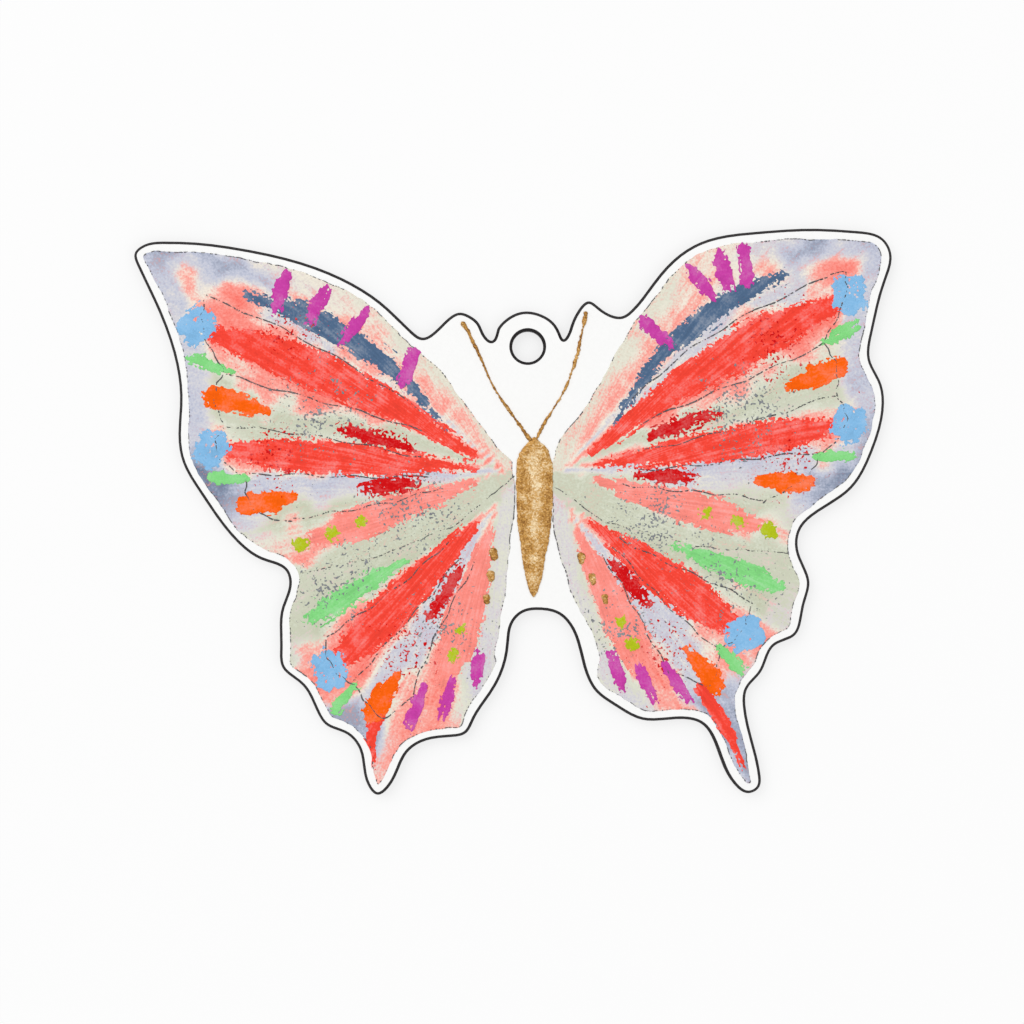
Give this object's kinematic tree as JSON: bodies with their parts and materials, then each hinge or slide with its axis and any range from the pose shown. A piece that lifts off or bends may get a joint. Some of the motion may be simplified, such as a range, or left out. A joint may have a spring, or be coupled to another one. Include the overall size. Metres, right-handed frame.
{
  "type": "die-cut butterfly hang tag",
  "caption": "Flat butterfly cut from one piece of white board, with a hanging hole in a tab and a dark bevelled edge.",
  "frame": {"origin": "middle of the tag's box, on the plain back face that lies on the ground", "axes": "+X to the right across the wings, +Y from the tails towards the hanging hole, +Z out of the decorated face"},
  "size_m": [0.1, 0.0748, 0.002],
  "materials": {
    "board": "matte coated, dark cut edge",
    "watercolour": "matte, granulated washes",
    "pastel": "matte, broken chalky strokes",
    "pencil": "matte, grainy graphite line",
    "glitter": "gold glitter in clear glue"
  },
  "bodies": {
    "root": {"butterfly_tag": "board"}
  },
  "joints": []
}
